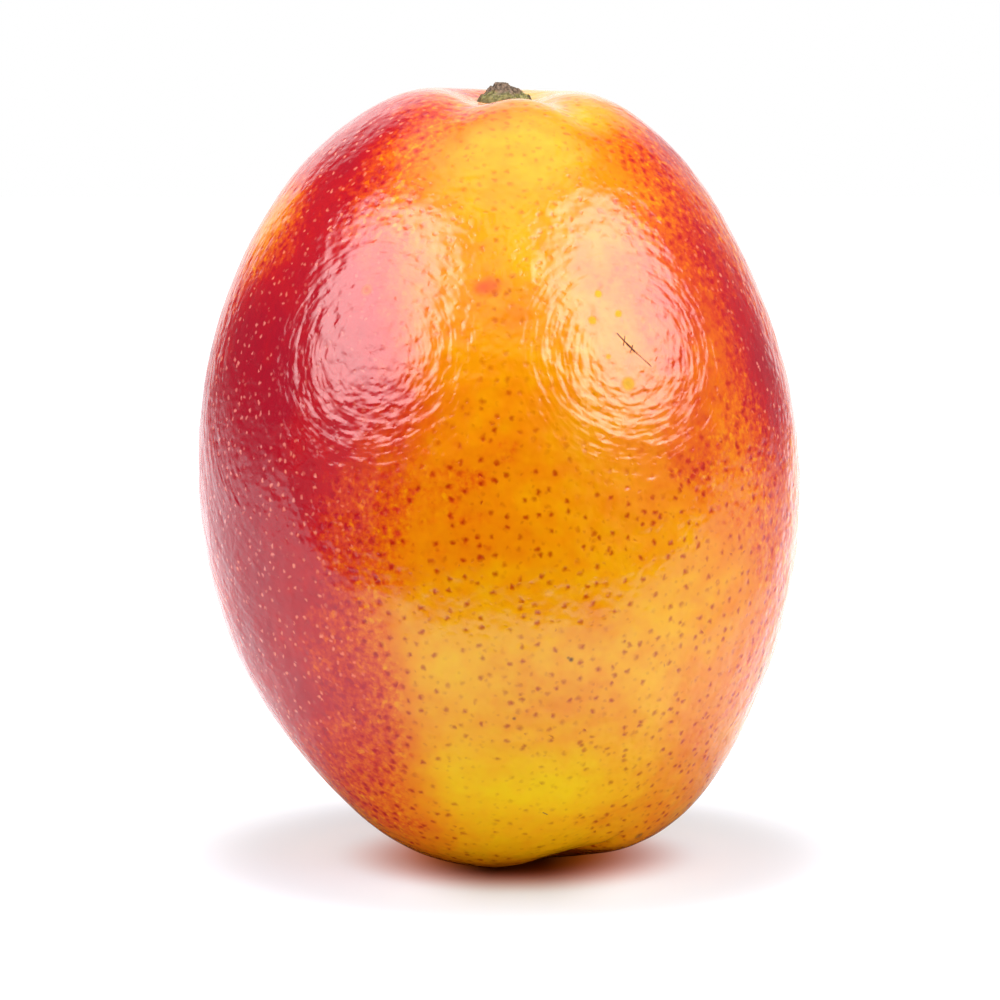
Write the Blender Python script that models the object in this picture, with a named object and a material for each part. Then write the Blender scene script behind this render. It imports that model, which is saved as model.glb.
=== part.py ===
"""A whole ripe mango, stem end up, standing on a small flat spot at its tip.

Metres, +Z up. The origin is on the resting surface, straight below the middle of the stem cavity.
The front is -Y and the beak side is +X. Two pieces: the fruit and the dry stub of its stalk.
"""
import bmesh
import bpy
import numpy as np

MM = 0.001

# Body: an ellipsoid that is taller above its widest section than below it
HALF_WIDTH = 46.4 * MM        # along X
HALF_DEPTH = 42.5 * MM        # along Y
WIDEST_HEIGHT = 58.5 * MM     # the widest section stands this high
CROWN_RISE = 63.3 * MM        # from there to the crown, were there no cavity
FOOT_FLATTENING = 0.8 * MM    # how much of the tip the flat spot takes off

# Broad swells and hollows of the skin: azimuth and latitude in degrees, height, spread in degrees
SWELLS = (
    (0, 32, -1.2 * MM, 24),     # right cheek, leaner above the middle
    (180, 52, 0.4 * MM, 16),    # left shoulder, a little square
    (180, 25, 0.5 * MM, 24),    # left cheek, fuller above the middle
    (180, -25, -0.7 * MM, 24),  # left flank, leaner below it
    (180, -50, -1.9 * MM, 18),  # left flank runs straight down to the tip
    (0, -30, 0.5 * MM, 24),     # right flank
    (0, -58, 3.4 * MM, 20),     # beak side, full close to the tip
    (240, -68, 0.9 * MM, 18),   # tip, towards the front left
    (90, 20, -0.6 * MM, 35),    # back cheek, a little flatter
    (-90, 76, -0.25 * MM, 14),   # front of the crown sits lower
    (0, -90, -0.5 * MM, 14),    # the very tip is blunt
    (-46, -74, -2.0 * MM, 8),   # hollow beyond the cleft
    (-78, -71, 0.7 * MM, 9),    # front of the tip, full up to the cleft
    (-70, -58, 0.5 * MM, 9),    # ridge above the cleft
    (-33, -62, 0.8 * MM, 6),    # small lobe below the cleft
)

# Stem cavity, and the folds that cross its rim: azimuth in degrees, depth, half width
CAVITY_X = 0.7 * MM
CAVITY_DEPTH = 5.6 * MM
CAVITY_RADIUS = 9.0 * MM
FOLDS = (
    (-116, 1.3 * MM, 4.4 * MM),
    (-50, 1.2 * MM, 3.6 * MM),
)
FOLD_START, FOLD_FULL = 3.5 * MM, 9.0 * MM     # distance from the middle of the cavity
FOLD_FADE, FOLD_END = 13.0 * MM, 30.0 * MM

# Cleft: a groove between two directions, seen from the middle of the body
CLEFT_START = (-51, -73)      # azimuth, latitude, under the tip
CLEFT_END = (-39, -57)
CLEFT_DEPTH = 1.1 * MM
CLEFT_HALF_WIDTH = 0.023      # radians

# Stalk stub: a craggy mound that follows the bottom of the cavity
STEM_RADIUS = 4.3 * MM
STEM_TOP_HEIGHT = 119.8 * MM
STEM_GAP = 0.3 * MM
STEM_EDGE = 0.6 * MM          # height of its broken edge above the skin
STEM_SLOPE = 0.75             # 1 would be a straight cone, less is a blunter one
STEM_FLUTES = 5               # ridges round the stub
STEM_FLUTE_DEPTH = 0.08       # share of its radius
STEM_FLUTE_TURN = -7          # degrees by which the first ridge is turned from +X
STEM_SIDE = (-0.25, 0.05)     # the stub's side rises between these heights of the unit sphere

FRUIT_SEGMENTS, FRUIT_RINGS = 88, 62
STEM_SEGMENTS, STEM_RINGS = 30, 16
POLE_CROWDING = 0.6           # rings stand this much closer at the crown and the tip


def heading(azimuth, latitude):
    """Unit vector of an azimuth and a latitude in degrees."""
    a, b = np.radians(azimuth), np.radians(latitude)
    return np.array([np.cos(b) * np.cos(a), np.cos(b) * np.sin(a), np.sin(b)])


def smooth_step(x, low, high):
    """0 below low, 1 above high, and 3t^2 - 2t^3 between them."""
    t = np.clip((x - low) / (high - low), 0.0, 1.0)
    return t * t * (3.0 - 2.0 * t)


def cavity_drop(x, y):
    """How far the cavity and its folds lower the crown at (x, y).

    The cavity is depth * exp(-(r / radius)^2). A fold is depth * exp(-(s / half width)^2), s being the
    distance from its line, and it rises and fades with r.
    """
    r = np.hypot(x - CAVITY_X, y)
    around = np.arctan2(y, x - CAVITY_X)
    drop = CAVITY_DEPTH * np.exp(-(r / CAVITY_RADIUS) ** 2)
    reach = smooth_step(r, FOLD_START, FOLD_FULL) * (1.0 - smooth_step(r, FOLD_FADE, FOLD_END))
    for azimuth, depth, half_width in FOLDS:
        off = np.angle(np.exp(1j * (around - np.radians(azimuth))))
        drop = drop + depth * reach * np.exp(-(off * r / half_width) ** 2)
    return drop


def cleft_depth(direction):
    """Depth of the cleft: a Gaussian groove round the chord between its two ends, fading at the end."""
    start, end = heading(*CLEFT_START), heading(*CLEFT_END)
    chord = end - start
    along = np.clip((direction - start) @ chord / (chord @ chord), 0.0, 1.0)
    off = np.linalg.norm(direction - start - along[:, None] * chord, axis=1)
    return CLEFT_DEPTH * (1.0 - along ** 2) * np.exp(-(off / CLEFT_HALF_WIDTH) ** 2)


def skin(direction):
    """Points of the skin for unit vectors seen from the middle of the widest section."""
    upper = direction[:, 2:] > 0.0
    vertical = np.where(upper, CROWN_RISE, WIDEST_HEIGHT + FOOT_FLATTENING)
    sideways = np.ones_like(vertical)
    axes = np.hstack([HALF_WIDTH * sideways, HALF_DEPTH * sideways, vertical])
    normal = direction / axes
    normal /= np.linalg.norm(normal, axis=1, keepdims=True)
    rise = -cleft_depth(direction)
    for azimuth, latitude, height, spread in SWELLS:
        away = np.degrees(np.arccos(np.clip(direction @ heading(azimuth, latitude), -1.0, 1.0)))
        rise = rise + height * np.exp(-(away / spread) ** 2)
    points = direction * axes + rise[:, None] * normal
    drop = np.where(upper[:, 0], cavity_drop(points[:, 0], points[:, 1]), 0.0)
    points[:, 2] += WIDEST_HEIGHT - drop
    return points


def crown_height(x, y):
    """Height of the skin above (x, y), near the middle of the crown."""
    across = np.clip((x / HALF_WIDTH) ** 2 + (y / HALF_DEPTH) ** 2, 0.0, 1.0)
    return WIDEST_HEIGHT + CROWN_RISE * np.sqrt(1.0 - across) - cavity_drop(x, y)


def fruit_shape(sphere):
    """The skin, with the sphere's rings crowded towards the crown and the tip."""
    share = np.arccos(np.clip(sphere[:, 2], -1.0, 1.0)) / np.pi
    polar = np.pi * share - 0.5 * POLE_CROWDING * np.sin(2.0 * np.pi * share)
    around = np.arctan2(sphere[:, 1], sphere[:, 0])
    level = np.sin(polar)
    return skin(np.column_stack([level * np.cos(around), level * np.sin(around), np.cos(polar)]))


def stem_shape(sphere):
    """The stub: the sphere's lower half lies on the cavity, its upper half is a fluted cone."""
    around = np.arctan2(sphere[:, 1], sphere[:, 0])
    flat = np.hypot(sphere[:, 0], sphere[:, 1])
    turned = around - np.radians(STEM_FLUTE_TURN)
    flutes = 1.0 + STEM_FLUTE_DEPTH * np.cos(STEM_FLUTES * turned)
    x = CAVITY_X + STEM_RADIUS * flat * flutes * np.cos(around)
    y = STEM_RADIUS * flat * flutes * np.sin(around)
    floor = crown_height(x, y) + STEM_GAP
    peak = STEM_TOP_HEIGHT - crown_height(CAVITY_X, 0.0) - STEM_GAP
    mound = STEM_EDGE + (peak - STEM_EDGE) * (1.0 - np.minimum(flat, 1.0)) ** STEM_SLOPE
    return np.column_stack([x, y, floor + mound * smooth_step(sphere[:, 2], *STEM_SIDE)])


def make_material(name, color, roughness):
    """Plain Principled material."""
    material = bpy.data.materials.new(name)
    material.use_nodes = True
    shader = material.node_tree.nodes["Principled BSDF"]
    shader.inputs["Base Color"].default_value = (*color, 1.0)
    shader.inputs["Roughness"].default_value = roughness
    shader.inputs["Metallic"].default_value = 0.0
    return material


def make_shaped_sphere(name, segments, rings, shape, material, collection):
    """A UV sphere whose points are carried to shape(points)."""
    mesh = bpy.data.meshes.new(name)
    ball = bmesh.new()
    bmesh.ops.create_uvsphere(ball, u_segments=segments, v_segments=rings, radius=1.0)
    ball.to_mesh(mesh)
    ball.free()
    sphere = np.empty(3 * len(mesh.vertices))
    mesh.vertices.foreach_get("co", sphere)
    mesh.vertices.foreach_set("co", shape(sphere.reshape(-1, 3)).ravel())
    mesh.shade_smooth()
    mesh.materials.append(material)
    piece = bpy.data.objects.new(name, mesh)
    collection.objects.link(piece)
    return piece


def make_foot_cutter(collection):
    """A slab whose top face is the resting surface."""
    width, thickness = 60.0 * MM, 10.0 * MM
    mesh = bpy.data.meshes.new("foot_cutter")
    slab = bmesh.new()
    bmesh.ops.create_cube(slab, size=1.0)
    bmesh.ops.scale(slab, vec=(width, width, thickness), verts=slab.verts)
    slab.to_mesh(mesh)
    slab.free()
    cutter = bpy.data.objects.new("foot_cutter", mesh)
    cutter.location = (0.0, 0.0, -0.5 * thickness)
    cutter.display_type = "WIRE"
    cutter.hide_render = True
    collection.objects.link(cutter)
    return cutter


def make_collection(name):
    """A collection in the scene."""
    collection = bpy.data.collections.new(name)
    bpy.context.scene.collection.children.link(collection)
    return collection


def main():
    """Clears the scene and builds the mango."""
    for old in list(bpy.data.objects):
        bpy.data.objects.remove(old, do_unlink=True)
    parts = make_collection("mango")
    cutters = make_collection("cutters")

    skin_material = make_material("mango_skin", (0.80, 0.23, 0.04), 0.28)
    stem_material = make_material("dry_stem", (0.17, 0.12, 0.07), 0.80)

    fruit = make_shaped_sphere("fruit", FRUIT_SEGMENTS, FRUIT_RINGS, fruit_shape, skin_material, parts)
    make_shaped_sphere("stem", STEM_SEGMENTS, STEM_RINGS, stem_shape, stem_material, parts)

    foot = fruit.modifiers.new("flat_foot", "BOOLEAN")
    foot.operation = "DIFFERENCE"
    foot.solver = "EXACT"
    foot.object = make_foot_cutter(cutters)


main()
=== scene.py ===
"""The looks of a whole ripe mango that stands on its tip: skin, stalk stub, light and camera.

Metres, +Z up, front at -Y. Azimuths turn from +X towards +Y, and latitudes rise from the widest
section, both in degrees and seen from the middle of that section.
"""

import bpy
import numpy as np
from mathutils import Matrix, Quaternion, Vector


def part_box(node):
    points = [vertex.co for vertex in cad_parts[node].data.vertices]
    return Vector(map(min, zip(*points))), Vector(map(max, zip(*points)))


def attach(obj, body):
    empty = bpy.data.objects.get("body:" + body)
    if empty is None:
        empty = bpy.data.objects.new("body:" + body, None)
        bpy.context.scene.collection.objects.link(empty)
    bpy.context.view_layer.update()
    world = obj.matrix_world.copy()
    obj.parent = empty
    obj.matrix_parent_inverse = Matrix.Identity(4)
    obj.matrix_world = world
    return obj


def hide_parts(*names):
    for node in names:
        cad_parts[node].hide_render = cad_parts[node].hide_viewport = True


MM = 0.001

# Body, as in the solid: an ellipsoid that is taller above its widest section than below it
HALF_WIDTH = 46.4 * MM
HALF_DEPTH = 42.5 * MM
WIDEST_HEIGHT = 58.5 * MM
CROWN_RISE = 63.3 * MM
FOOT_FLATTENING = 0.8 * MM

# Broad swells and hollows: azimuth, latitude, height, spread in degrees
SWELLS = (
    (0, 32, -1.2 * MM, 24),     # right cheek, leaner above the middle
    (180, 52, 0.4 * MM, 16),    # left shoulder, a little square
    (180, 25, 0.5 * MM, 24),    # left cheek, fuller above the middle
    (180, -25, -0.7 * MM, 24),  # left flank, leaner below it
    (180, -50, -1.9 * MM, 18),  # left flank runs straight down to the tip
    (0, -30, 0.5 * MM, 24),     # right flank
    (0, -58, 3.4 * MM, 20),     # beak side, full close to the tip
    (240, -68, 0.9 * MM, 18),   # tip, towards the front left
    (90, 20, -0.6 * MM, 35),    # back cheek, a little flatter
    (-90, 76, -0.25 * MM, 14),  # front of the crown sits lower
    (0, -90, -0.5 * MM, 14),    # the very tip is blunt
    (-46, -74, -2.0 * MM, 8),   # hollow beyond the cleft
    (-78, -71, 0.7 * MM, 9),    # front of the tip, full up to the cleft
    (-70, -58, 0.5 * MM, 9),    # ridge above the cleft
    (-33, -62, 0.8 * MM, 6),    # small lobe below the cleft
)

# Stem cavity and the folds that cross its rim: azimuth, depth, half width
CAVITY_X = 0.7 * MM
CAVITY_DEPTH = 5.6 * MM
CAVITY_RADIUS = 9.0 * MM
FOLDS = (
    (-116, 1.3 * MM, 4.4 * MM),
    (-50, 1.2 * MM, 3.6 * MM),
)
FOLD_START, FOLD_FULL = 3.5 * MM, 9.0 * MM
FOLD_FADE, FOLD_END = 13.0 * MM, 30.0 * MM

# Cleft beside the tip: a groove between two directions
CLEFT_START = (-51, -73)
CLEFT_END = (-39, -57)
CLEFT_DEPTH = 1.1 * MM
CLEFT_HALF_WIDTH = 0.023        # radians

# Fine relief that the skin mesh carries: wavelength and height of its ripples
SKIN_RIPPLES = ((9.0 * MM, 0.05 * MM), (5.0 * MM, 0.025 * MM))
SKIN_SEGMENTS, SKIN_RINGS = 400, 248
POLE_CROWDING = 0.5

# Relief that the skin's shader adds: ripples that run round the middle of either cheek, an orange
# peel, and pores that are slightly sunk
CHEEKS = ((-116, 22), (-64, 22))             # azimuth and latitude of their middles
RIPPLE_WAVE = 1.15 * MM                      # from ripple to ripple
RIPPLE_TURN = 3.2                            # how often a ripple changes along its course
RIPPLE_HEIGHT = 0.20 * MM
RIPPLE_CENTRE = (2.0 * MM, 8.0 * MM, 0.2)    # they rise between these distances, from this share
RIPPLE_SPREAD = (13.0 * MM, 21.0 * MM)       # where they fade
FLANK_RISE = (27.0 * MM, 34.0 * MM)          # where they come back, on the left flank only
FLANK_FADE = (50.0 * MM, 60.0 * MM)
FLANK_SIDE = (-28.0 * MM, -38.0 * MM, 0.8)   # they rise between these X, up to this share
CALM_SPREAD = (14.0 * MM, 23.0 * MM)         # the skin is even in colour within this
CALM_SHARE = 0.75                            # of the pores and speckles, missing there
PEEL = ((2.4 * MM, 1.0, 0.20 * MM), (1.0 * MM, 0.0, 0.035 * MM))   # size, detail, height
LARGE_PORE_SINK, FINE_PORE_SINK = 0.025 * MM, 0.015 * MM

# Pores: spacing, radius and soft edge of the large dark ones and of the fine ones
LARGE_PORES = (2.15 * MM, 0.34 * MM, 0.32 * MM)
FINE_PORES = (1.75 * MM, 0.25 * MM, 0.18 * MM)
PORE_WANDER = (0.9 * MM, 0.8 * MM)           # grain and size of the noise that bends their outlines
PORE_DEPTH = (0.50, 0.34)                    # they fade where a centre lies this far off, in spacings

# Blush: size and swing of the noise that makes its border ragged, then of the grains in the border
BORDER_NOISE = ((8.0 * MM, 0.26), (2.6 * MM, 0.18))
GRAIN_SIZE, GRAIN_SWING, GRAIN_DROP = 0.75 * MM, 0.50, 0.045
PORE_BLUSH = 0.16                            # added round a large pore in the border

# Gloss of the skin
ROUGHNESS, ROUGHNESS_SWING = 0.105, 0.07

# Stalk stub
STEM_RADIUS = 4.3 * MM
STEM_LEAN = 0.5 * MM            # its top lies this far to the left
STEM_SINK = 0.25 * MM           # its edge lies this far into the skin
STEM_DIP = 0.3 * MM             # its underside lies this much deeper, just inside the edge
STEM_RISE, STEM_SLOPE = 1.22, 0.95
STEM_LOBES = ((5, 0.04, 0.6), (8, 0.03, -1.0), (13, 0.02, 0.0))    # count, share of the radius, turn
STEM_CRAGS = ((2.3 * MM, 0.32, 11), (1.1 * MM, 0.30, 12), (0.55 * MM, 0.16, 13))   # size, mm high, seed
STEM_SEGMENTS, STEM_RINGS = 160, 90

# Soft boxes as the skin mirrors them, and the lamps in their places that light it
SOFTBOX_SIZE = (0.77, 0.71)
SOFTBOX_ROLL = 8.0              # degrees
SOFTBOX_RADIANCE = 8.4
SOFTBOX_CORE = 0.42             # share of the half size that is evenly bright
SOFTBOX_ELEVATION, LAMP_ELEVATION = 34, 32
LAMP_SIZE = (0.74, 0.64)
LIGHT_DISTANCE = 0.60
MAIN_LIGHTS = (                 # side, azimuth of the box, azimuth and radiance of the lamp
    ("left", -54, -60, 2.13),
    ("right", 53, 54, 2.15),
)
OVERHEAD_LAMP = (62, 0.70, (0.9, 0.7), 0.68)     # elevation, distance, size, radiance

# Table and backdrop: the middle of the foot, the colours of the contact shadow painted on the table and of
# the open table
FOOT_X = 0.0025
PAINTED_SHADOW_TINT = (1.0, 0.20, 0.02, 1.0)
TABLE_TINT = (0.975, 0.995, 1.045, 1.0)
TABLE_EDGES = (-1.5, 1.5, -0.19, 1.5)      # left, right, front, back
BACKDROP_MIDDLE = (90, 22)                 # azimuth and latitude

# Camera: a long lens, a little above the fruit and looking slightly down
CAMERA_PLACE = (0.0, -0.700, 0.150)
CAMERA_PITCH = 7.67             # degrees below level
CAMERA_LENS, CAMERA_SENSOR = 165.0, 36.0

# Blush of the skin, 0 yellow to 1 crimson: a base, and soft patches added to it
# azimuth, latitude, half width and half height in degrees, amount
BLUSH_BASE = 0.325
BLUSH_PATCHES = (
    (-150, 45, 24, 22, 0.50),    # left shoulder
    (-148, 10, 26, 24, 0.64),    # left cheek, the deepest red
    (-142, -30, 24, 26, 0.52),   # left flank
    (-155, -15, 14, 24, 0.09),
    (-126, -8, 8, 14, 0.11),
    (-118, 25, 9, 20, 0.28),     # where that red thins out towards the front
    (-130, 22, 8, 18, 0.08),
    (-116, -30, 8, 26, 0.13),
    (-110, 16, 6, 10, 0.16),
    (-162, 40, 12, 9, -0.52),    # small golden window in the red
    (-128, 68, 22, 10, 0.26),    # left side of the crown
    (-112, 60, 8, 7, -0.07),
    (-76, 52, 18, 20, -0.18),    # yellow strip below the stalk
    (-100, 2, 14, 12, 0.10),     # orange belly
    (-95, -18, 20, 12, -0.14),
    (-104, -30, 8, 14, -0.14),
    (-84, -46, 24, 10, -0.31),   # yellow towards the tip
    (-74, -62, 18, 8, -0.18),
    (-66, 42, 12, 14, 0.17),     # right of the yellow strip
    (-58, 26, 8, 9, -0.07),
    (-68, 22, 8, 12, 0.05),
    (-54, 24, 9, 16, 0.28),      # orange beside the right band
    (-56, -20, 12, 18, -0.11),
    (-50, 6, 8, 8, 0.15),
    (-34, 38, 12, 14, 0.38),     # right band, upper half
    (-25, 18, 13, 14, 0.55),     # right band, lower half
    (-4, 38, 11, 22, 0.26),      # dark rim of the right shoulder: deeper red as painted shade where the light falls off at the rim
    (-20, 58, 14, 10, 0.36),     # right shoulder
    (-54, 61, 8, 6, 0.17),
    (-42, 64, 14, 6, -0.26),     # yellow behind the right fold
    (-26, -5, 12, 16, 0.19),
    (-24, -30, 18, 26, 0.13),    # coral right flank
    (-62, -54, 9, 4, 0.10),      # ridge above the cleft
    (-35, -14, 9, 9, -0.06),
    (-124, -56, 10, 11, 0.10),
    (-84, -68, 22, 8, -0.08),
    (-117, 43, 8, 8, -0.10),
    (-170, 58, 18, 13, 0.18),    # dark rim of the left shoulder: deeper red as painted shade where the light falls off at the rim
    (150, 20, 30, 40, 0.40),     # back left, red
    (95, -5, 26, 40, 0.15),      # back, orange red
    (48, 25, 26, 30, 0.30),      # back right
    (60, -40, 30, 16, -0.15),
    (125, 80, 7, 7, 0.30),       # far side of the cavity
    (50, 80, 7, 7, -0.18),
)


def heading(azimuth, latitude):
    """Unit vector of an azimuth and a latitude."""
    a, b = np.radians(azimuth), np.radians(latitude)
    return np.array([np.cos(b) * np.cos(a), np.cos(b) * np.sin(a), np.sin(b)])


def sine(degrees):
    """Sine of an angle in degrees."""
    return float(np.sin(np.radians(degrees)))


def cosine(degrees):
    """Cosine of an angle in degrees."""
    return float(np.cos(np.radians(degrees)))


def smooth_step(x, low, high):
    """0 below low, 1 above high, and 3t^2 - 2t^3 between them."""
    t = np.clip((x - low) / (high - low), 0.0, 1.0)
    return t * t * (3.0 - 2.0 * t)


def ripples(points, wavelength, seed, count=40):
    """Even bumps of one size: a sum of sine waves along random directions, about -1 to 1."""
    rng = np.random.default_rng(seed)
    ways = rng.normal(size=(3, count))
    ways /= np.linalg.norm(ways, axis=0)
    phases = rng.uniform(0.0, 2.0 * np.pi, count)
    return np.sin(points @ ways * (2.0 * np.pi / wavelength) + phases).sum(axis=1) / np.sqrt(2.0 * count)


def cavity_drop(x, y):
    """How far the stem cavity and its folds lower the crown at (x, y).

    The cavity is depth * exp(-(r / radius)^2). A fold is depth * exp(-(s / half width)^2), s being the
    distance from its line, and it rises and fades with r.
    """
    r = np.hypot(x - CAVITY_X, y)
    around = np.arctan2(y, x - CAVITY_X)
    drop = CAVITY_DEPTH * np.exp(-(r / CAVITY_RADIUS) ** 2)
    reach = smooth_step(r, FOLD_START, FOLD_FULL) * (1.0 - smooth_step(r, FOLD_FADE, FOLD_END))
    for azimuth, depth, half_width in FOLDS:
        off = np.angle(np.exp(1j * (around - np.radians(azimuth))))
        drop = drop + depth * reach * np.exp(-(off * r / half_width) ** 2)
    return drop


def cleft_depth(direction):
    """Depth of the cleft: a Gaussian groove round the chord between its two ends, fading at the end."""
    start, end = heading(*CLEFT_START), heading(*CLEFT_END)
    chord = end - start
    along = np.clip((direction - start) @ chord / (chord @ chord), 0.0, 1.0)
    off = np.linalg.norm(direction - start - along[:, None] * chord, axis=1)
    return CLEFT_DEPTH * (1.0 - along ** 2) * np.exp(-(off / CLEFT_HALF_WIDTH) ** 2)


def skin_points(direction, relief=0.0):
    """Points of the skin in the given directions, raised by relief along the normal.

    The ellipsoid carries the swells, the cleft and the relief along its own normal; then the cavity
    lowers the crown, and what would reach below the resting surface is flat on it.
    """
    upper = direction[:, 2:] > 0.0
    vertical = np.where(upper, CROWN_RISE, WIDEST_HEIGHT + FOOT_FLATTENING)
    sideways = np.ones_like(vertical)
    axes = np.hstack([HALF_WIDTH * sideways, HALF_DEPTH * sideways, vertical])
    normal = direction / axes
    normal /= np.linalg.norm(normal, axis=1, keepdims=True)
    rise = relief - cleft_depth(direction)
    for azimuth, latitude, height, spread in SWELLS:
        away = np.degrees(np.arccos(np.clip(direction @ heading(azimuth, latitude), -1.0, 1.0)))
        rise = rise + height * np.exp(-(away / spread) ** 2)
    points = direction * axes + rise[:, None] * normal
    drop = np.where(upper[:, 0], cavity_drop(points[:, 0], points[:, 1]), 0.0)
    points[:, 2] += WIDEST_HEIGHT - drop
    points[:, 2] = np.maximum(points[:, 2], 0.0)
    return points


def on_skin(azimuth, latitude):
    """The point of the skin in one direction."""
    return skin_points(heading(azimuth, latitude)[None, :])[0]


def crown_height(x, y):
    """Height of the skin above (x, y), near the middle of the crown."""
    across = np.clip((x / HALF_WIDTH) ** 2 + (y / HALF_DEPTH) ** 2, 0.0, 1.0)
    return WIDEST_HEIGHT + CROWN_RISE * np.sqrt(1.0 - across) - cavity_drop(x, y)


def closed_grid(name, top, rows, bottom):
    """A closed mesh from a top point, rows of points going round, and a bottom point.

    rows is (rings, segments, 3), each ring turning from +X towards +Y. Its UV map unrolls the piece:
    u goes once round, v goes from the bottom point to the top one.
    """
    rings, segments, _ = rows.shape
    points = np.vstack([top[None, :], rows.reshape(-1, 3), bottom[None, :]])
    here = np.arange(segments)
    after = (here + 1) % segments
    level = 1 + segments * np.arange(rings - 1)[:, None]
    quads = np.stack([level + here, level + segments + here, level + segments + after, level + after], axis=2)
    last = 1 + segments * (rings - 1)
    caps = [np.column_stack([np.zeros(segments, int), 1 + here, 1 + after]),
            np.column_stack([last + here, np.full(segments, len(points) - 1), last + after])]
    corners = np.concatenate([caps[0].ravel(), quads.ravel(), caps[1].ravel()])
    sizes = np.concatenate([np.full(segments, 3), np.full(segments * (rings - 1), 4), np.full(segments, 3)])

    mesh = bpy.data.meshes.new(name)
    mesh.vertices.add(len(points))
    mesh.vertices.foreach_set("co", points.ravel())
    mesh.loops.add(len(corners))
    mesh.loops.foreach_set("vertex_index", corners)
    mesh.polygons.add(len(sizes))
    mesh.polygons.foreach_set("loop_start", np.concatenate([[0], np.cumsum(sizes)[:-1]]))
    mesh.update(calc_edges=True)

    step = 1.0 / segments
    down = 1.0 - (np.arange(rings) + 1.0) / (rings + 1.0)
    left = np.tile(here * step, (rings - 1, 1))
    upper, lower = down[:-1, None] + 0 * left, down[1:, None] + 0 * left
    quad_uv = np.stack([np.stack([left, left, left + step, left + step], axis=2),
                        np.stack([upper, lower, lower, upper], axis=2)], axis=3)
    flat = here * step
    ends = np.ones(segments)
    top_uv = np.stack([np.column_stack([flat + step / 2, flat, flat + step]),
                       np.column_stack([ends, down[0] * ends, down[0] * ends])], axis=2)
    bottom_uv = np.stack([np.column_stack([flat, flat + step / 2, flat + step]),
                          np.column_stack([down[-1] * ends, 0 * ends, down[-1] * ends])], axis=2)
    unrolled = np.concatenate([top_uv.ravel(), quad_uv.ravel(), bottom_uv.ravel()])
    mesh.uv_layers.new(name="OFBake").data.foreach_set("uv", unrolled)
    mesh.validate()
    mesh.shade_smooth()
    piece = bpy.data.objects.new(name, mesh)
    bpy.context.scene.collection.objects.link(piece)
    return piece


def ring_angles(segments):
    """Angles of a ring's points."""
    return np.linspace(0.0, 2.0 * np.pi, segments, endpoint=False)


def blush_at(direction):
    """Blush of the skin, base + sum of amount * exp(-(across / half width)^2 - (up / half height)^2)."""
    around = np.arctan2(direction[:, 1], direction[:, 0])
    latitude = np.degrees(np.arcsin(np.clip(direction[:, 2], -1.0, 1.0)))
    blush = np.full(len(direction), BLUSH_BASE)
    for azimuth, height, half_width, half_height, amount in BLUSH_PATCHES:
        turned = np.angle(np.exp(1j * (around - np.radians(azimuth))))
        across = np.degrees(turned) * np.cos(np.radians(height))
        blush += amount * np.exp(-(across / half_width) ** 2 - ((latitude - height) / half_height) ** 2)
    return blush


def make_skin():
    """The whole skin, its rings crowded towards the crown and the tip, with its blush as an attribute."""
    share = np.arange(1, SKIN_RINGS) / SKIN_RINGS
    polar = np.pi * share - 0.5 * POLE_CROWDING * np.sin(2.0 * np.pi * share)
    polar, around = np.meshgrid(polar, ring_angles(SKIN_SEGMENTS), indexing="ij")
    level = np.sin(polar)
    rows = np.stack([level * np.cos(around), level * np.sin(around), np.cos(polar)], axis=2)
    directions = np.vstack([heading(0, 90), rows.reshape(-1, 3), heading(0, -90)])
    smooth = skin_points(directions)
    relief = sum(height * ripples(smooth, wavelength, seed)
                 for seed, (wavelength, height) in enumerate(SKIN_RIPPLES))
    points = skin_points(directions, relief)
    skin = closed_grid("mango_skin", points[0], points[1:-1].reshape(rows.shape), points[-1])
    blush = skin.data.attributes.new("blush", "FLOAT", "POINT")
    blush.data.foreach_set("value", blush_at(directions))
    return skin


def make_stem():
    """The dry stub: a lopsided, craggy mound whose underside lies just inside the skin.

    Along a profile t from 0 at the middle of the top to 1 at the edge and 2 at the middle of the
    underside, the radius is 1 - |1 - t| of the whole; the top rises as rise * (1 - radius)^slope, cut
    off at its full height, which leaves a small flat, and the middle leans to the left.
    """
    crown = crown_height(CAVITY_X, 0.0)
    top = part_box("stem")[1][2] - crown
    t = 2.0 * np.arange(1, STEM_RINGS) / STEM_RINGS
    t, around = np.meshgrid(t, ring_angles(STEM_SEGMENTS), indexing="ij")
    t = np.concatenate([[0.0], t.ravel(), [2.0]])
    around = np.concatenate([[0.0], around.ravel(), [0.0]])
    radius = 1.0 - np.abs(1.0 - t)
    lobes = 1.0 + sum(share * np.cos(count * around + turn) for count, share, turn in STEM_LOBES)
    x = STEM_RADIUS * radius * lobes * np.cos(around) - (1.0 - radius) * STEM_LEAN
    y = STEM_RADIUS * radius * lobes * np.sin(around)
    seat = np.column_stack([x, y, 0.0 * x])
    crags = sum(share * ripples(seat, wavelength, seed) for wavelength, share, seed in STEM_CRAGS)
    above = np.minimum(STEM_RISE * (1.0 - radius) ** STEM_SLOPE, 1.0)
    height = above * top + smooth_step(radius, 1.0, 0.8) * MM * (crags - 0.02)
    height = (t < 1.0) * np.clip(height, 0.0, top)
    sunk = STEM_SINK * smooth_step(t, 0.85, 1.0) + STEM_DIP * (t > 1.0) * (2.0 - t)
    points = np.column_stack([x + CAVITY_X, y, crown_height(x + CAVITY_X, y) + height - sunk])
    rows = points[1:-1].reshape(STEM_RINGS - 1, STEM_SEGMENTS, 3)
    return closed_grid("stem_stub", points[0], rows, points[-1])


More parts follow.
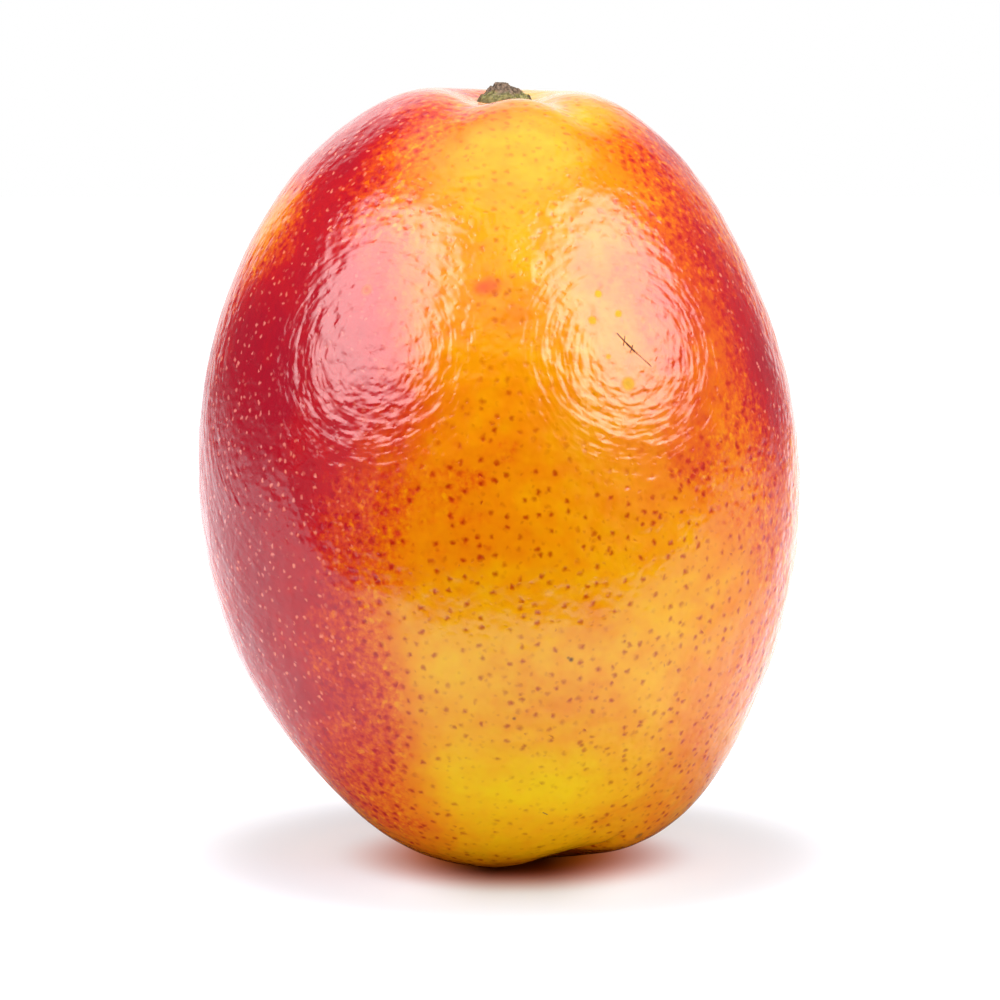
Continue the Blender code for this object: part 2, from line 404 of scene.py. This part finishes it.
class Nodes:
    """Adds nodes to one node tree, taking numbers or other nodes' sockets as inputs."""

    def __init__(self, tree):
        self.tree = tree

    def add(self, kind, settings=None, **inputs):
        """A node with its settings, and its inputs by name with _ for a space."""
        node = self.tree.nodes.new(kind)
        for key, value in (settings or {}).items():
            setattr(node, key, value)
        for key, value in inputs.items():
            self.feed(node.inputs[key.replace("_", " ")], value)
        return node

    def feed(self, socket, value):
        """Links a socket, or sets its value."""
        if isinstance(value, bpy.types.NodeSocket):
            self.tree.links.new(value, socket)
        else:
            socket.default_value = value

    def math(self, operation, first, second=0.5, third=0.5, clamp=False):
        """Result of a Math node."""
        node = self.add("ShaderNodeMath", {"operation": operation, "use_clamp": clamp})
        for socket, value in zip(node.inputs, (first, second, third)):
            self.feed(socket, value)
        return node.outputs[0]

    def vector(self, operation, first, second=(0.0, 0.0, 0.0), output="Vector"):
        """Result of a Vector Math node."""
        node = self.add("ShaderNodeVectorMath", {"operation": operation})
        self.feed(node.inputs[0], first)
        self.feed(node.inputs[1], second)
        return node.outputs[output]

    def product(self, first, *others):
        """Product of several values."""
        for other in others:
            first = self.math("MULTIPLY", first, other)
        return first

    def scaled(self, vector, factor):
        """A vector times a number."""
        node = self.add("ShaderNodeVectorMath", {"operation": "SCALE"}, Scale=factor)
        self.feed(node.inputs[0], vector)
        return node.outputs["Vector"]

    def parts(self, vector):
        """The three parts of a vector."""
        return self.add("ShaderNodeSeparateXYZ", Vector=vector).outputs

    def noise(self, place, size, detail=2.0, output="Fac"):
        """Noise of one grain size, around 0.5."""
        node = self.add("ShaderNodeTexNoise", Vector=place, Scale=1.0 / size, Detail=detail)
        return node.outputs[output]

    def between(self, value, low, high, low_result=0.0, high_result=1.0):
        """Smooth step of a value from low to high."""
        node = self.add("ShaderNodeMapRange", {"interpolation_type": "SMOOTHSTEP"}, Value=value)
        names = ("From Min", "From Max", "To Min", "To Max")
        for name, number in zip(names, (low, high, low_result, high_result)):
            self.feed(node.inputs[name], number)
        return node.outputs["Result"]

    def blend(self, share, first, second):
        """Mix of two colours."""
        node = self.add("ShaderNodeMix", {"data_type": "RGBA"})
        self.feed(node.inputs[0], share)
        self.feed(node.inputs[6], first)
        self.feed(node.inputs[7], second)
        return node.outputs[2]

    def ramp(self, value, stops):
        """Colour ramp of (position, colour) stops."""
        node = self.add("ShaderNodeValToRGB", Fac=value)
        stones = node.color_ramp.elements
        while len(stones) < len(stops):
            stones.new(1.0)
        for stone, (position, color) in zip(stones, stops):
            stone.position = position
            stone.color = color
        return node.outputs["Color"]


def paint(red, green, blue):
    """Linear colour of an sRGB colour given as 0 to 255."""
    share = np.array([red, green, blue]) / 255.0
    linear = np.where(share <= 0.04045, share / 12.92, ((share + 0.055) / 1.055) ** 2.4)
    return (*(float(part) for part in linear), 1.0)


def new_group(name, inputs, outputs):
    """An empty shader node group with named sockets; returns it, its Nodes and its input sockets."""
    group = bpy.data.node_groups.new(name, "ShaderNodeTree")
    for socket, kind in inputs.items():
        group.interface.new_socket(socket, in_out="INPUT", socket_type=kind)
    for socket, kind in outputs.items():
        group.interface.new_socket(socket, in_out="OUTPUT", socket_type=kind)
    nodes = Nodes(group)
    return group, nodes, nodes.add("NodeGroupInput").outputs


def place_group(nodes, group, **inputs):
    """Outputs of a node that holds a group."""
    return nodes.add("ShaderNodeGroup", {"node_tree": group}, **inputs).outputs


def dots_group():
    """Round dots scattered over a surface, each about the foot of a Voronoi cell's centre.

    Mask is the dot and Halo a soft surrounding. Both fade for centres that lie far above or below
    the surface, so some dots are faint.
    """
    group, nodes, given = new_group(
        "pore_dots",
        {"Place": "NodeSocketVector", "Spacing": "NodeSocketFloat", "Radius": "NodeSocketFloat",
         "Edge": "NodeSocketFloat"},
        {"Mask": "NodeSocketFloat", "Halo": "NodeSocketFloat", "Chance": "NodeSocketFloat"})
    normal = nodes.add("ShaderNodeTexCoord").outputs["Normal"]
    cells = nodes.add("ShaderNodeTexVoronoi", {"voronoi_dimensions": "3D", "feature": "F1"},
                      Vector=given["Place"], Scale=nodes.math("DIVIDE", 1.0, given["Spacing"]),
                      Randomness=0.85)
    step = nodes.vector("SUBTRACT", cells.outputs["Position"], given["Place"])
    above = nodes.vector("DOT_PRODUCT", step, normal, "Value")
    across = nodes.math("SUBTRACT", nodes.vector("DOT_PRODUCT", step, step, "Value"),
                        nodes.math("MULTIPLY", above, above))
    away = nodes.math("SQRT", nodes.math("MAXIMUM", across, 0.0))
    depth = nodes.math("DIVIDE", nodes.math("ABSOLUTE", above), given["Spacing"])
    outer = nodes.math("ADD", given["Radius"], given["Edge"])
    inner = nodes.math("SUBTRACT", given["Radius"], given["Edge"])
    near = nodes.between(depth, *PORE_DEPTH)
    around = nodes.between(away, nodes.math("MULTIPLY", given["Spacing"], 0.46), 0.0)
    chance = nodes.add("ShaderNodeSeparateColor", Color=cells.outputs["Color"]).outputs["Red"]
    nodes.add("NodeGroupOutput", Mask=nodes.product(nodes.between(away, outer, inner), near),
              Halo=nodes.product(around, near), Chance=chance)
    return group


def ripple_group():
    """Ripples that run round one point: noise over the way to that point and the distance from it.

    They are high round the point, and lower on the left flank. Near is 1 about the point.
    """
    group, nodes, given = new_group(
        "cheek_ripples", {"Place": "NodeSocketVector", "Centre": "NodeSocketVector"},
        {"Height": "NodeSocketFloat", "Near": "NodeSocketFloat"})
    step = nodes.vector("SUBTRACT", given["Place"], given["Centre"])
    away = nodes.vector("LENGTH", step, output="Value")
    turned = nodes.scaled(nodes.vector("NORMALIZE", step), RIPPLE_TURN)
    waves = nodes.add("ShaderNodeTexNoise", {"noise_dimensions": "4D"}, Vector=turned,
                      W=nodes.math("DIVIDE", away, RIPPLE_WAVE), Scale=1.0, Detail=1.0).outputs["Fac"]
    start, full, least = RIPPLE_CENTRE
    near = nodes.product(nodes.between(away, RIPPLE_SPREAD[1], RIPPLE_SPREAD[0]),
                         nodes.between(away, start, full, least, 1.0))
    inner, outer, most = FLANK_SIDE
    flank = nodes.product(nodes.between(away, *FLANK_RISE),
                          nodes.between(away, FLANK_FADE[1], FLANK_FADE[0]),
                          nodes.between(nodes.parts(given["Place"])["X"], inner, outer, 0.0, most))
    height = nodes.product(nodes.math("SUBTRACT", waves, 0.5), nodes.math("ADD", near, flank))
    nodes.add("NodeGroupOutput", Height=height, Near=nodes.between(away, CALM_SPREAD[1], CALM_SPREAD[0]))
    return group


def spot_group():
    """A soft round spot about one point."""
    group, nodes, given = new_group(
        "skin_spot",
        {"Place": "NodeSocketVector", "Centre": "NodeSocketVector", "Radius": "NodeSocketFloat",
         "Edge": "NodeSocketFloat"},
        {"Mask": "NodeSocketFloat"})
    away = nodes.vector("DISTANCE", given["Place"], given["Centre"], "Value")
    outer = nodes.math("ADD", given["Radius"], given["Edge"])
    inner = nodes.math("SUBTRACT", given["Radius"], given["Edge"])
    nodes.add("NodeGroupOutput", Mask=nodes.between(away, outer, inner))
    return group


def scratch_group():
    """A thin mark along the straight line between two points."""
    group, nodes, given = new_group(
        "skin_scratch",
        {"Place": "NodeSocketVector", "Start": "NodeSocketVector", "End": "NodeSocketVector",
         "Half Width": "NodeSocketFloat"},
        {"Mask": "NodeSocketFloat"})
    line = nodes.vector("SUBTRACT", given["End"], given["Start"])
    reach = nodes.vector("SUBTRACT", given["Place"], given["Start"])
    share = nodes.math("DIVIDE", nodes.vector("DOT_PRODUCT", reach, line, "Value"),
                       nodes.vector("DOT_PRODUCT", line, line, "Value"), clamp=True)
    away = nodes.vector("DISTANCE", reach, nodes.scaled(line, share), "Value")
    outer = nodes.math("MULTIPLY", given["Half Width"], 1.6)
    inner = nodes.math("MULTIPLY", given["Half Width"], 0.4)
    nodes.add("NodeGroupOutput", Mask=nodes.between(away, outer, inner))
    return group


def new_material(name):
    """A material with only its Principled BSDF and output."""
    material = bpy.data.materials.new(name)
    material.use_nodes = True
    return material, Nodes(material.node_tree), material.node_tree.nodes["Principled BSDF"]


# Colours of the skin by blush
SKIN_RAMP = (
    (0.00, paint(254, 210, 0)),
    (0.20, paint(252, 178, 0)),
    (0.36, paint(246, 144, 0)),
    (0.50, paint(236, 106, 4)),
    (0.64, paint(219, 64, 20)),
    (0.80, paint(196, 15, 28)),
    (1.00, paint(170, 2, 34)),
)
# Colours on the same scale of the large pores, which stay dark, and of the fine ones, pale on red
LARGE_PORE_RAMP = (
    (0.00, paint(194, 112, 0)),
    (0.20, paint(190, 80, 0)),
    (0.36, paint(190, 48, 0)),
    (0.52, paint(184, 20, 2)),
    (0.68, paint(162, 4, 14)),
    (1.00, paint(128, 2, 30)),
)
FINE_PORE_RAMP = (
    (0.00, paint(220, 156, 0)),
    (0.20, paint(212, 122, 0)),
    (0.38, paint(204, 78, 0)),
    (0.54, paint(214, 62, 8)),
    (0.66, paint(246, 112, 60)),
    (0.80, paint(255, 146, 110)),
    (1.00, paint(252, 140, 130)),
)
# Small marks: azimuth, latitude, radius, soft edge in mm, colour, share of cover, added roughness
SPOTS = (
    (-92.1, 31.9, 1.30, 1.00, paint(228, 54, 40), 0.60, 0.0),
    (-94.2, 31.6, 0.90, 0.70, paint(228, 54, 40), 0.50, 0.0),
    (-69.0, 30.5, 0.52, 0.20, paint(228, 182, 0), 1.00, 0.8),
    (-65.2, 27.5, 0.50, 0.20, paint(228, 178, 0), 1.00, 0.8),
    (-71.1, 26.7, 0.58, 0.20, paint(228, 174, 0), 1.00, 0.8),
    (-68.6, 21.5, 0.36, 0.20, paint(228, 170, 0), 0.90, 0.6),
    (-65.0, 17.7, 0.90, 0.36, paint(232, 168, 0), 1.00, 0.7),
    (-119.3, 30.9, 0.80, 0.40, paint(240, 120, 60), 0.60, 0.2),
    (-119.3, 30.9, 0.35, 0.25, paint(226, 70, 60), 0.60, 0.0),
    (-76.1, -20.9, 0.30, 0.24, paint(60, 24, 0), 0.90, 0.0),
    (-76.7, -20.6, 0.20, 0.16, paint(60, 24, 0), 0.60, 0.0),
    (-87.0, -30.7, 0.22, 0.20, paint(110, 30, 0), 0.85, 0.0),
    (-17.9, -27.2, 0.55, 0.30, paint(120, 44, 24), 0.80, 0.2),
    (-17.5, -28.4, 0.45, 0.30, paint(120, 44, 24), 0.80, 0.2),
    (-32.0, -59.4, 0.60, 0.45, paint(104, 66, 12), 0.70, 0.2),
)
# Fine scratches: azimuth and latitude of both ends, half width in mm, colour
SCRATCH_WEAR = 0.70             # added roughness
SCRATCHES = (
    (-66.1, 24.7, -64.3, 23.2, 0.10, paint(84, 36, 4)),
    (-64.3, 23.2, -62.9, 22.1, 0.13, paint(56, 20, 0)),
    (-62.9, 22.1, -59.6, 19.9, 0.075, paint(110, 52, 10)),
    (-65.1, 23.0, -64.5, 24.3, 0.07, paint(96, 44, 8)),
    (-63.8, 22.0, -63.1, 22.9, 0.08, paint(96, 44, 8)),
    (-77.3, -51.2, -75.9, -51.7, 0.09, paint(150, 84, 0)),
)


def skin_material():
    """Waxy skin: blush with a ragged, speckled border, pores, small marks and orange-peel relief."""
    material, nodes, shader = new_material("mango_skin")
    place = nodes.add("ShaderNodeTexCoord").outputs["Object"]
    blush = nodes.add("ShaderNodeAttribute", {"attribute_name": "blush"}).outputs["Fac"]

    # Pores: large dark ones, and small ones that are faint on yellow and pale on red
    grain_size, reach = PORE_WANDER
    wander = nodes.vector("SUBTRACT", nodes.noise(place, grain_size, 1.0, "Color"), (0.5, 0.5, 0.5))
    bent = nodes.vector("ADD", place, nodes.scaled(wander, reach))
    dots = dots_group()
    large, fine = (place_group(nodes, dots, Place=bent, Spacing=spacing, Radius=radius, Edge=edge)
                   for spacing, radius, edge in (LARGE_PORES, FINE_PORES))

    # Ripples round the middle of either cheek, where the colour is calmer
    rings = ripple_group()
    ripple_height, calm = 0.0, 1.0
    for cheek in CHEEKS:
        ring = place_group(nodes, rings, Place=place, Centre=on_skin(*cheek))
        ripple_height = nodes.math("ADD", ring["Height"], ripple_height)
        calm = nodes.math("MULTIPLY_ADD", ring["Near"], -CALM_SHARE, calm)

    # Blush with a ragged border, in which red gathers round the pores and grains stay yellow
    ragged = blush
    for size, swing in BORDER_NOISE:
        shift = nodes.math("MULTIPLY_ADD", nodes.noise(place, size), swing, -swing / 2)
        ragged = nodes.math("ADD", ragged, shift)
    grain = nodes.math("MULTIPLY_ADD", nodes.noise(place, GRAIN_SIZE), GRAIN_SWING,
                       -GRAIN_SWING / 2 - GRAIN_DROP)
    grain = nodes.math("MULTIPLY_ADD", large["Halo"], PORE_BLUSH, grain)
    bits = nodes.between(nodes.noise(place, 1.4 * MM, detail=1.0), 0.60, 0.72, 0.0, -0.16)
    turning = nodes.product(nodes.between(ragged, 0.36, 0.56), nodes.between(ragged, 0.90, 0.72), calm)
    speckled = nodes.math("MULTIPLY_ADD", nodes.math("ADD", grain, bits), turning, ragged)
    color = nodes.ramp(speckled, SKIN_RAMP)

    # How strongly each kind of pore shows: by its own chance, by the blush round it, and the large ones
    # less on pure yellow and towards the crown
    reddened = nodes.between(ragged, 0.56, 0.70)
    kept = nodes.math("SUBTRACT", large["Chance"], nodes.between(ragged, 0.08, 0.26, 0.5, 0.0))
    large_share = nodes.product(
        large["Mask"], nodes.between(kept, 0.0, 0.6), nodes.between(ragged, 0.05, 0.30, 0.75, 1.05),
        nodes.between(nodes.parts(place)["Z"], 84.0 * MM, 100.0 * MM, 1.0, 0.5),
        nodes.between(reddened, 0.0, 1.0, 0.86, 0.1), calm)
    fine_share = nodes.product(
        fine["Mask"], nodes.between(fine["Chance"], 0.0, 0.95),
        nodes.between(reddened, 0.0, 1.0, 0.45, 0.85), calm)
    color = nodes.blend(fine_share, color, nodes.ramp(ragged, FINE_PORE_RAMP))
    color = nodes.blend(large_share, color, nodes.ramp(ragged, LARGE_PORE_RAMP))

    # Small marks, duller than the wax
    spot, scratch = spot_group(), scratch_group()
    worn = 0.0
    for azimuth, latitude, radius, edge, tint, cover, wear in SPOTS:
        mark = place_group(nodes, spot, Place=place, Centre=on_skin(azimuth, latitude), Radius=radius * MM,
                           Edge=edge * MM)["Mask"]
        color = nodes.blend(nodes.math("MULTIPLY", mark, cover), color, tint)
        if wear > 0.0:
            worn = nodes.math("MULTIPLY_ADD", mark, wear, worn)
    for azimuth, latitude, other_azimuth, other_latitude, half_width, tint in SCRATCHES:
        mark = place_group(nodes, scratch, Place=place, Start=on_skin(azimuth, latitude),
                           End=on_skin(other_azimuth, other_latitude), Half_Width=half_width * MM)["Mask"]
        color = nodes.blend(mark, color, tint)
        worn = nodes.math("MULTIPLY_ADD", mark, SCRATCH_WEAR, worn)
    nodes.feed(shader.inputs["Base Color"], color)
    rough = nodes.math("MULTIPLY_ADD", nodes.noise(place, 4.0 * MM), ROUGHNESS_SWING, ROUGHNESS)
    nodes.feed(shader.inputs["Roughness"], nodes.math("ADD", rough, worn))

    # Relief: ripples and orange peel, with the pores slightly sunk
    raised = nodes.math("MULTIPLY", ripple_height, RIPPLE_HEIGHT)
    for size, detail, depth in PEEL:
        raised = nodes.math("MULTIPLY_ADD", nodes.noise(place, size, detail), depth, raised)
    raised = nodes.math("MULTIPLY_ADD", large["Mask"], -LARGE_PORE_SINK, raised)
    raised = nodes.math("MULTIPLY_ADD", fine["Mask"], -FINE_PORE_SINK, raised)
    relief = nodes.add("ShaderNodeBump", Height=raised, Distance=1.0, Strength=1.0)
    nodes.feed(shader.inputs["Normal"], relief.outputs["Normal"])
    return material


def stem_material():
    """Dry, weathered stalk: olive sides, brown top, dark crevices."""
    material, nodes, shader = new_material("dry_stem")
    place = nodes.add("ShaderNodeTexCoord").outputs["Object"]
    top = float(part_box("stem")[1][2])
    patchy = nodes.noise(place, 1.1 * MM, detail=3.0)
    level = nodes.math("MULTIPLY_ADD", nodes.math("SUBTRACT", patchy, 0.5), 3.0 * MM, nodes.parts(place)["Z"])
    browned = nodes.between(level, top - 1.9 * MM, top - 1.0 * MM)
    mottled = nodes.between(nodes.noise(place, 0.55 * MM, detail=3.0), 0.3, 0.7)
    olive = nodes.blend(mottled, paint(92, 84, 38), paint(156, 152, 88))
    brown = nodes.blend(mottled, paint(54, 40, 28), paint(142, 118, 96))
    color = nodes.blend(browned, olive, brown)
    pitted = nodes.between(nodes.noise(place, 0.7 * MM, detail=2.0), 0.44, 0.34, 0.0, 0.85)
    color = nodes.blend(pitted, color, paint(58, 42, 22))
    outward = nodes.vector("MULTIPLY", nodes.vector("SUBTRACT", place, (CAVITY_X, 0.0, 0.0)), (1.0, 1.0, 0.0))
    outward = nodes.vector("LENGTH", outward, output="Value")
    rim = nodes.between(nodes.math("MULTIPLY_ADD", patchy, 1.2 * MM, outward), 4.2 * MM, 4.8 * MM, 0.0, 0.75)
    color = nodes.blend(rim, color, paint(78, 58, 36))
    nodes.feed(shader.inputs["Base Color"], color)
    shader.inputs["Roughness"].default_value = 0.85
    relief = nodes.add("ShaderNodeBump", Height=nodes.noise(place, 0.4 * MM, detail=3.0), Distance=0.25 * MM)
    nodes.feed(shader.inputs["Normal"], relief.outputs["Normal"])
    return material


def dress():
    """The two pieces, in place of the plain solids."""
    for make, material, node, slot in ((make_skin, skin_material, "fruit", "mango_skin"),
                                       (make_stem, stem_material, "stem", "dry_stem")):
        piece = make()
        piece.data.materials.append(material())
        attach(piece, "root")
        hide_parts(node)


def aim(thing, target, roll=0.0):
    """Turns a light or card so that it looks at a point, rolled by some degrees."""
    facing = (Vector(target) - thing.location).to_track_quat("-Z", "Y")
    thing.rotation_euler = (facing @ Quaternion((0.0, 0.0, 1.0), np.radians(roll))).to_euler()


def toward(azimuth, elevation, distance):
    """A place in a direction from the middle of the fruit; azimuth 0 is the front, 90 the right."""
    a, e = np.radians(azimuth), np.radians(elevation)
    way = np.array([np.sin(a) * np.cos(e), -np.cos(a) * np.cos(e), np.sin(e)])
    return Vector(way * distance) + Vector((0.0, 0.0, WIDEST_HEIGHT))


def make_fill(name, place, size, radiance):
    """A rectangular lamp of even radiance that lights the fruit but isn't mirrored in it."""
    lamp = bpy.data.lights.new(name, "AREA")
    lamp.shape = "RECTANGLE"
    lamp.size, lamp.size_y = size
    lamp.energy = radiance * np.pi * size[0] * size[1]
    piece = bpy.data.objects.new(name, lamp)
    piece.location = place
    aim(piece, (0.0, 0.0, WIDEST_HEIGHT))
    piece.visible_glossy = False
    bpy.context.scene.collection.objects.link(piece)


def new_tree(holder):
    """An emptied node tree of a material or world."""
    holder.use_nodes = True
    holder.node_tree.nodes.clear()
    return Nodes(holder.node_tree)


def softbox_material():
    """Cloth of a soft box, brightest in the middle and fading towards its rounded rim."""
    material = bpy.data.materials.new("softbox_cloth")
    nodes = new_tree(material)
    place = nodes.parts(nodes.add("ShaderNodeTexCoord").outputs["Object"])
    cubes = []
    for name, size in zip("XY", SOFTBOX_SIZE):
        share = nodes.math("ABSOLUTE", nodes.math("DIVIDE", place[name], size / 2))
        cubes.append(nodes.math("POWER", share, 3.0))
    rim = nodes.math("POWER", nodes.math("ADD", *cubes), 1.0 / 3.0)
    bright = nodes.between(rim, 1.0, SOFTBOX_CORE, 0.0, SOFTBOX_RADIANCE)
    glow = nodes.add("ShaderNodeEmission", Strength=bright)
    nodes.add("ShaderNodeOutputMaterial", Surface=glow.outputs[0])
    return material


def make_sheet(name, corners, material):
    """One rectangle of the stage."""
    mesh = bpy.data.meshes.new(name)
    mesh.from_pydata(corners, [], [(0, 1, 2, 3)])
    mesh.materials.append(material)
    sheet = bpy.data.objects.new(name, mesh)
    bpy.context.scene.collection.objects.link(sheet)
    return sheet


def make_softbox(name, place, material):
    """A card that only shows as a mirror image in glossy skin."""
    x, y = SOFTBOX_SIZE[0] / 2, SOFTBOX_SIZE[1] / 2
    card = make_sheet(name, [(-x, -y, 0), (x, -y, 0), (x, y, 0), (-x, y, 0)], material)
    card.location = place
    aim(card, (0.0, 0.0, WIDEST_HEIGHT), SOFTBOX_ROLL)
    card.visible_camera = False
    card.visible_diffuse = False
    card.visible_shadow = False


def make_lights():
    """Two soft boxes with their lamps, and a weak lamp overhead."""
    cloth = softbox_material()
    for side, azimuth, lamp_azimuth, radiance in MAIN_LIGHTS:
        make_softbox(side + "_softbox", toward(azimuth, SOFTBOX_ELEVATION, LIGHT_DISTANCE), cloth)
        make_fill(side + "_fill", toward(lamp_azimuth, LAMP_ELEVATION, LIGHT_DISTANCE), LAMP_SIZE, radiance)
    elevation, distance, size, radiance = OVERHEAD_LAMP
    make_fill("overhead_fill", toward(0, elevation, distance), size, radiance)


def table_material():
    """White table with a painted contact shadow: its colour darkens and turns warm under the fruit.

    away is the distance from the foot. The table's own glow lets the camera see it pure white, and
    sets how brightly the glossy skin mirrors it from place to place.
    """
    material, nodes, shader = new_material("white_table")
    shader.inputs["Roughness"].default_value = 0.8
    shader.inputs["Specular IOR Level"].default_value = 0.0
    path = nodes.add("ShaderNodeLightPath").outputs
    place = nodes.add("ShaderNodeTexCoord").outputs["Object"]
    across, depth, _ = nodes.parts(place)
    away = nodes.vector("DISTANCE", place, (FOOT_X, 0.0, 0.0), "Value")
    open_floor = nodes.between(away, 0.018, 0.045)

    # Colour: a painted contact shadow, dark at the foot and painted warm there as if lit by the skin; dark in
    # front of the fruit, and a little darker to the camera and the skin
    plainer = nodes.product(path["Is Camera Ray"], open_floor, 0.35)
    duller = nodes.product(path["Is Glossy Ray"], nodes.between(away, 0.065, 0.028, 0.0, 0.8))
    white = nodes.product(nodes.between(away, 0.004, 0.034, 0.18, 0.71),
                          nodes.between(depth, -0.125, -0.100, 0.03, 1.0),
                          nodes.math("SUBTRACT", 1.0, plainer), nodes.math("SUBTRACT", 1.0, duller))
    # Painted warm bounce light in the shadow at the foot, fading into the table's own tint further off
    tint = nodes.blend(nodes.between(away, 0.0095, 0.029), PAINTED_SHADOW_TINT, TABLE_TINT)
    nodes.feed(shader.inputs["Base Color"], nodes.scaled(tint, white))
    nodes.feed(shader.inputs["Emission Color"], tint)

    # Glow to the camera: pale beside the foot, white further off
    beside = nodes.math("ABSOLUTE", nodes.math("SUBTRACT", across, FOOT_X))
    beside = nodes.product(nodes.between(beside, 0.003, 0.018), nodes.between(away, 0.045, 0.020), 0.32)
    seen = nodes.math("ADD", beside, nodes.between(away, 0.030, 0.080, 0.0, 0.8))
    seen = nodes.math("MULTIPLY_ADD", open_floor, 0.28, seen)

    # Glow in the skin: none at the foot and in front of the fruit, stronger behind it and beside its
    # right, weaker farther off
    rightward = nodes.math("MULTIPLY_ADD", depth, -0.6, across)
    mirrored = nodes.product(nodes.between(away, 0.025, 0.09, 0.0, 0.60),
                             nodes.between(away, 1.2, 0.25, 0.55, 1.0),
                             nodes.between(depth, 0.06, 0.25, 1.0, 1.5),
                             nodes.between(rightward, 0.06, 0.17, 1.0, 0.25),
                             nodes.between(across, 0.0, 0.04, 1.0, 1.6),
                             nodes.between(depth, -0.155, -0.095))
    mirrored = nodes.product(path["Is Glossy Ray"], mirrored)
    nodes.feed(shader.inputs["Emission Strength"],
               nodes.math("MULTIPLY_ADD", path["Is Camera Ray"], seen, mirrored))
    return material


def make_room():
    """Room that the camera sees as pure white, and that lights the fruit mostly from behind."""
    world = bpy.data.worlds.new("studio")
    bpy.context.scene.world = world
    nodes = new_tree(world)
    path = nodes.add("ShaderNodeLightPath").outputs
    way = nodes.add("ShaderNodeTexCoord").outputs["Generated"]
    rightward, backward, upward = nodes.parts(way)

    # Bright backdrop, dimmer at its upper right, in a dim room that is a little lighter on the right
    facing = nodes.vector("DOT_PRODUCT", way, tuple(heading(*BACKDROP_MIDDLE)), "Value")
    rear = nodes.between(facing, cosine(43), cosine(28), 0.0, 1.15)
    dimmed = nodes.product(nodes.between(rightward, 0.10, 0.30), nodes.between(upward, 0.0, 0.15, 0.0, -0.50))
    rear = nodes.math("MULTIPLY_ADD", rear, dimmed, rear)
    rear = nodes.math("ADD", rear, nodes.between(backward, -0.9, -0.3, 0.03, 0.15))
    rear = nodes.math("ADD", rear, nodes.between(rightward, 0.45, 0.75, 0.0, 0.17))

    # Ceiling, the horizon behind and on the left, and a glow that lights up the left shoulder
    ceiling = nodes.between(upward, sine(50), sine(64), 0.0, 1.1)
    sided = nodes.math("MAXIMUM", nodes.between(rightward, -0.60, -0.80), nodes.between(backward, 0.5, 0.8))
    horizon = nodes.product(nodes.between(upward, sine(-2), sine(8), 0.5, 0.0), sided)
    shoulder = nodes.product(nodes.between(rightward, -0.10, -0.30), nodes.between(backward, 0.66, 0.80),
                             nodes.between(upward, 0.20, 0.36, 0.0, 1.9))

    # Band above the camera, which only the glossy skin sees
    band = nodes.product(nodes.between(upward, sine(20), sine(42), 0.0, 1.2),
                         nodes.between(nodes.math("ABSOLUTE", rightward), 0.50, 0.25),
                         nodes.between(backward, 0.2, -0.2))
    band = nodes.math("MAXIMUM", band, nodes.between(upward, 0.87, 0.96, 0.0, 1.6))
    band = nodes.product(band, path["Is Glossy Ray"])

    glow = rear
    for other in (ceiling, horizon, shoulder, band):
        glow = nodes.math("MAXIMUM", glow, other)
    level = nodes.add("ShaderNodeMix", {"data_type": "FLOAT"})
    for socket, value in zip(level.inputs[:1] + level.inputs[2:4], (path["Is Camera Ray"], glow, 1.0)):
        nodes.feed(socket, value)
    shade = nodes.add("ShaderNodeBackground", Color=(1.0, 1.0, 1.0, 1.0), Strength=level.outputs[0])
    nodes.add("ShaderNodeOutputWorld", Surface=shade.outputs[0])


def make_studio():
    """Lights, white table and room."""
    make_lights()
    left, right, front, back = TABLE_EDGES
    make_sheet("table", [(left, front, 0), (right, front, 0), (right, back, 0), (left, back, 0)],
               table_material())
    make_room()


def make_camera():
    """The camera, and colours shown as they are."""
    camera = bpy.data.cameras.new("camera")
    camera.lens = CAMERA_LENS
    camera.sensor_width = CAMERA_SENSOR
    eye = bpy.data.objects.new("camera", camera)
    eye.location = CAMERA_PLACE
    eye.rotation_euler = (np.radians(90.0 - CAMERA_PITCH), 0.0, 0.0)
    bpy.context.scene.collection.objects.link(eye)
    bpy.context.scene.camera = eye
    bpy.context.scene.view_settings.view_transform = "Standard"


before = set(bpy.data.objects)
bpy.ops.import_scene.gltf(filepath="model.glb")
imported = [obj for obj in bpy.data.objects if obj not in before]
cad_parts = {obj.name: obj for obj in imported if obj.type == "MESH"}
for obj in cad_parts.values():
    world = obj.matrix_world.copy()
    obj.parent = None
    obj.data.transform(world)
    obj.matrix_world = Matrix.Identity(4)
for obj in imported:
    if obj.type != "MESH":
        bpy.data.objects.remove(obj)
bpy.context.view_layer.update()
dress()
make_studio()
make_camera()
